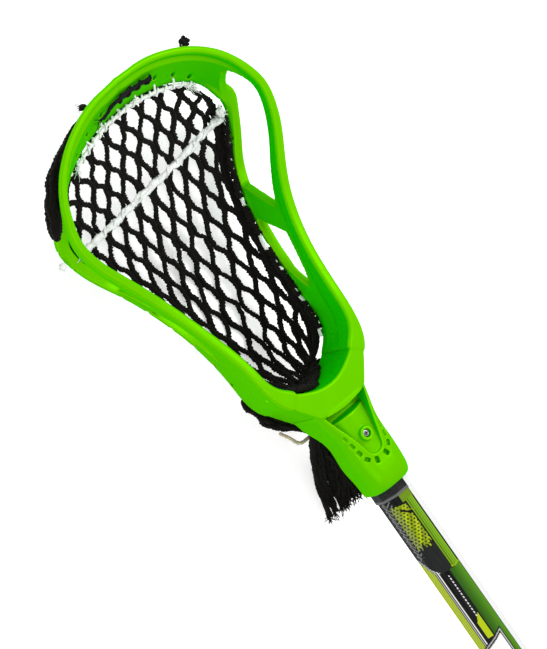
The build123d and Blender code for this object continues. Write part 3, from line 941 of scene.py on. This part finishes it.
def print_and_highlight_at(p, s):
    """Colour of the print, with a painted highlight on the right front face.

    p runs round the tube from the middle of its front face, s runs down it from the throat.
    """
    block_end, print_end = 67, 560
    colour = np.tile(black, (len(p), 1))

    def paint(mask, value):
        colour[mask] = value[mask] if np.ndim(value) == 2 else value

    def near(value, place, width):
        return np.abs(value - place) < width / 2

    front = np.abs(p) <= facet / 2
    # Front face: olive head, lengthwise stripe, shaded panel
    paint(front & (s < 13.5) & (p > -4.2), olive)
    stripe = (p > -1.6) & (p < 4.2) & (s >= 13) & (s < block_end)
    shade = np.clip((p + 1.6) / 5.8, 0, 1)[:, None]
    paint(stripe, deep * 0.5 + bright * (0.2 + 0.42 * shade))
    for line in (-0.9, 0.6, 2.0, 3.4):
        paint(stripe & near(p, line, 0.34), lime * 0.8)
    panel = (p > -4.6) & (p < 4.9) & (s >= 67.5 - 0.35 * np.abs(p)) & (s < print_end)
    shade = np.clip((p + 4.6) / 9.5, 0, 1)[:, None] ** 1.3
    paint(panel, deep * (1 - shade) + bright * 0.5 * shade)
    paint(near(s, 66.8 - 0.35 * np.abs(p - 1), 0.7) & (p > -7) & (p < 4.9), lime * 0.7)
    # Left front face: net pattern on black, dark block, band between two lines
    ragged = 1.6 * np.sin(p * 2.1) + 1.2 * np.sin(p * 0.9 + 1)
    patch = (p > -14.4) & (p < -2.6) & (s > 12.5 + 0.22 * (p + 14)) & (s < 45 + ragged)
    cell_wide, cell_high = 2.6, 2.08
    row = np.floor(s / cell_high)
    a = np.mod(p + row * cell_wide / 2, cell_wide) - cell_wide / 2
    b = np.mod(s, cell_high) - cell_high / 2
    hole = (a / 0.82) ** 2 + (b / 0.66) ** 2 < 1
    paint(patch, lime * (0.75 + 0.25 * np.sin(p * 0.9 + 0.4 * s))[:, None])
    paint(patch & hole, olive * 0.22)
    paint(patch & (p < -10.5) & ~hole, lime * 0.45 + silver * 0.12)
    paint(near(s, 17.5 + 0.75 * (p + 8), 2.0) & (p > -9) & (p < -2), black)
    paint(near(s, 15.4 + 0.75 * (p + 8), 0.6) & (p > -10) & (p < 0), lime * 0.6)
    strokes = (p > -20.5) & (p < -10.5 - 0.05 * np.abs(s - 30)) & (s > 8) & (s < 52)
    paint(strokes & near(np.mod(s + 0.8 * np.abs(p + 15.5), 3.2), 1.6, 0.9) & ~patch, silver * 0.4)
    paint((p > -14.2) & (p < -2.0) & (s > 46.5 + ragged) & (s < block_end), charcoal)
    # Left face: zigzag on black, then lime
    zigzag = -20.5 + 1.2 * np.abs(np.mod(s, 4) - 2)
    paint(near(p, zigzag, 0.9) & (s > 8) & (s < 54), silver * 0.45)
    lime_face = (p < -13.6) & (p > -26) & (s > 54 + 1.1 * np.clip(p + 24, 0, 11)) & (s < print_end)
    grain = (0.75 + 0.25 * np.sin(p * 2.3))[:, None]
    paint(lime_face, lime * grain)
    slope = (s > 52) & (s < 66)
    paint(slope & near(p, -24 + (s - 53) / 1.1, 2.6), black)
    paint(slope & near(p, -24.4 + (s - 53) / 1.1, 0.6), silver)
    paint(slope & near(p, -23.0 + (s - 53) / 1.1, 0.6), white * 0.8)
    lower = (s >= 65) & (s < print_end)
    paint(lower & near(p, -13.5, 3.2), black)
    paint(lower & near(p, -14.1, 0.6), silver * 0.8)
    paint(lower & near(p, -12.6, 0.6), white * 0.9)
    paint(lower & near(p, -7.2, 0.6) & (np.mod(s, 2.4) < 1.4) & (s > 69), white * 0.9)
    paint((p > -9.6) & (p < -5.4) & (s > 103 - 1.5 * (p + 7.5)) & (s < 119), lime)
    # A plain pale panel with a dark border, and the same again near the cap
    layers = (
        (-16.5, 1.6, 0, black),
        (-16.0, 0.9, 1.2, silver),
        (-15.5, 0.3, 1.9, black),
        (-14.9, -0.6, 3.2, white * 0.93),
    )
    for begin, end in ((117, 286), (430, 552)):
        top_edge = begin - 0.42 * (p + 1)
        for left_side, right_side, inset, value in layers:
            paint((p > left_side) & (p < right_side) & (s > top_edge + inset) & (s < end - inset), value)
    # Right front face painted nearly white as a painted highlight, where light blows the facet out, with two
    # black print lines; then the plain faces behind
    right_face = (p >= facet / 2) & (p < 1.5 * facet)
    paint(right_face, painted_highlight_pale)
    paint(right_face & near(p, 1.45 * facet, 0.8), black)
    paint(right_face & near(p, facet / 2 + 0.2, 0.5), black)
    back = (p >= 1.5 * facet) | (p < -2.6 * facet)
    paint(back & (np.abs(np.mod(p + 4 * facet, 8 * facet)) < 1.9), bright)
    paint(back & near(np.mod(p, facet), facet / 2, 0.5), silver * 0.6)
    return colour


def shaft_mesh():
    """The tube's outer and inner faces, closed at both ends, with the print and a painted highlight as
    colours on its points.
    """
    corner, wall, count = 1.6, 1.3, 224
    ring_p, ring_x, ring_z = [], [], []
    for k in range(count):
        p = (k / count - 0.5) * 8 * facet
        face = round(p / facet)
        off = p - face * facet
        turn = math.radians(90 - 45 * face)
        # A little of each corner is rounded away
        cut = max(abs(off) - (facet / 2 - 0.7 * corner), 0)
        dist = shaft_flats / 2 - 0.16 * cut**2
        ring_p.append(p)
        ring_x.append(dist * math.cos(turn) + off * math.sin(turn))
        ring_z.append(dist * math.sin(turn) - off * math.cos(turn))
    fine = np.arange(5.0, 150.0, 0.5)
    coarse = np.arange(150.0, -shaft_butt, 3.0)
    places = np.concatenate([[-(shaft_high.y - throat[1]) / MM], fine, coarse, [-shaft_butt]])
    rings = len(places)
    inner_places = (places[0], places[-1])
    shrink = (shaft_flats - 2 * wall) / shaft_flats
    ring = list(zip(ring_x, ring_z))
    outer = [(x, -s, z) for s in places for x, z in ring]
    inner = [(x * shrink, -s, z * shrink) for s in inner_places for x, z in ring]
    faces = []
    for i in range(rings - 1):
        for j in range(count):
            a, b = i * count + j, i * count + (j + 1) % count
            faces.append((a, b, b + count, a + count))
    last, base = (rings - 1) * count, rings * count
    for j in range(count):
        k = (j + 1) % count
        faces.append((base + j, base + count + j, base + count + k, base + k))
        faces.append((j, base + j, base + k, k))
        faces.append((last + j, last + k, base + count + k, base + count + j))
    mesh = Mesh()
    mesh.put(at(np.vstack([outer, inner])), np.array(faces))
    piece = mesh.piece("printed_shaft_and_highlight", lacquer, "shaft_metal", ["shaft"])
    p = np.concatenate([np.tile(ring_p, rings), np.tile(ring_p, 2)])
    s = np.concatenate([np.repeat(places, count), np.repeat(inner_places, count)])
    colours = np.ones((len(p), 4), np.float32)
    colours[:, :3] = print_and_highlight_at(p, s)
    layer = piece.data.color_attributes.new("print", "FLOAT_COLOR", "POINT")
    layer.data.foreach_set("color", colours.ravel())


shaft_mesh()


# ---------------------------------------------------------------- floor, light, camera

n = Nodes("pale_floor")
floor_colour = n.mix(n.spread(n.noise(6, 2), 0, 1), (0.90, 0.90, 0.90), (0.94, 0.94, 0.94))
n.finish(floor_colour, 0.8, Specular_IOR_Level=0.1, Emission_Color=(1, 1, 1, 1), Emission_Strength=0.4)
floor_mesh = bpy.data.meshes.new("floor")
floor_reach = 30.0
floor_corners = [(x * floor_reach, y * floor_reach, floor_z) for x, y in ((-1, -1), (1, -1), (1, 1), (-1, 1))]
floor_mesh.from_pydata(floor_corners, [], [(0, 1, 2, 3)])
floor_mesh.materials.append(n.material)
floor = bpy.data.objects.new("floor", floor_mesh)
bpy.context.scene.collection.objects.link(floor)

world = bpy.context.scene.world or bpy.data.worlds.new("studio")
bpy.context.scene.world = world
world.use_nodes = True
sky = world.node_tree.nodes["Background"].inputs
sky["Color"].default_value = (1, 1, 1, 1)
sky["Strength"].default_value = 0.85


def area_light(name, place, aim, size, power):
    """A soft square light, pointed at a place."""
    light = bpy.data.lights.new(name, "AREA")
    light.energy = power
    light.size = size
    lamp = bpy.data.objects.new(name, light)
    lamp.location = place
    lamp.rotation_mode = "QUATERNION"
    lamp.rotation_quaternion = (Vector(aim) - Vector(place)).to_track_quat("-Z", "Y")
    bpy.context.scene.collection.objects.link(lamp)


head_middle = Vector(at((0, 160, 0)))
area_light("key", head_middle + Vector((0.9, 0.5, 1.7)), head_middle, 1.0, 26)
area_light("fill", head_middle + Vector((-1.3, -0.5, 1.5)), head_middle, 1.4, 12)

# The camera looks from the left and above, turned so that the shaft runs down to the right. It stands far
# off, so that near and far parts of the head keep their sizes.
to_camera = Vector((-0.4141, 0.1994, 0.8881)).normalized()
view_right = Vector((0.6939, -0.5625, 0.4498)).normalized()
view_up = to_camera.cross(view_right).normalized()
view_middle = Vector(throat) + (-72.75 * view_right + 102.2 * view_up) * MM
lens = 1200.0
distance_per_lens = 11.56  # millimetres of distance for each millimetre of lens
camera_data = bpy.data.cameras.new("camera")
camera_data.lens = lens
camera_data.sensor_width = 36.0
camera_data.clip_end = 200
camera = bpy.data.objects.new("camera", camera_data)
turn = Matrix((view_right, view_up, to_camera)).transposed()
camera_place = view_middle + to_camera * distance_per_lens * lens * MM
camera.matrix_world = Matrix.Translation(camera_place) @ turn.to_4x4()
bpy.context.scene.collection.objects.link(camera)
bpy.context.scene.camera = camera
bpy.context.scene.view_settings.view_transform = "Standard"
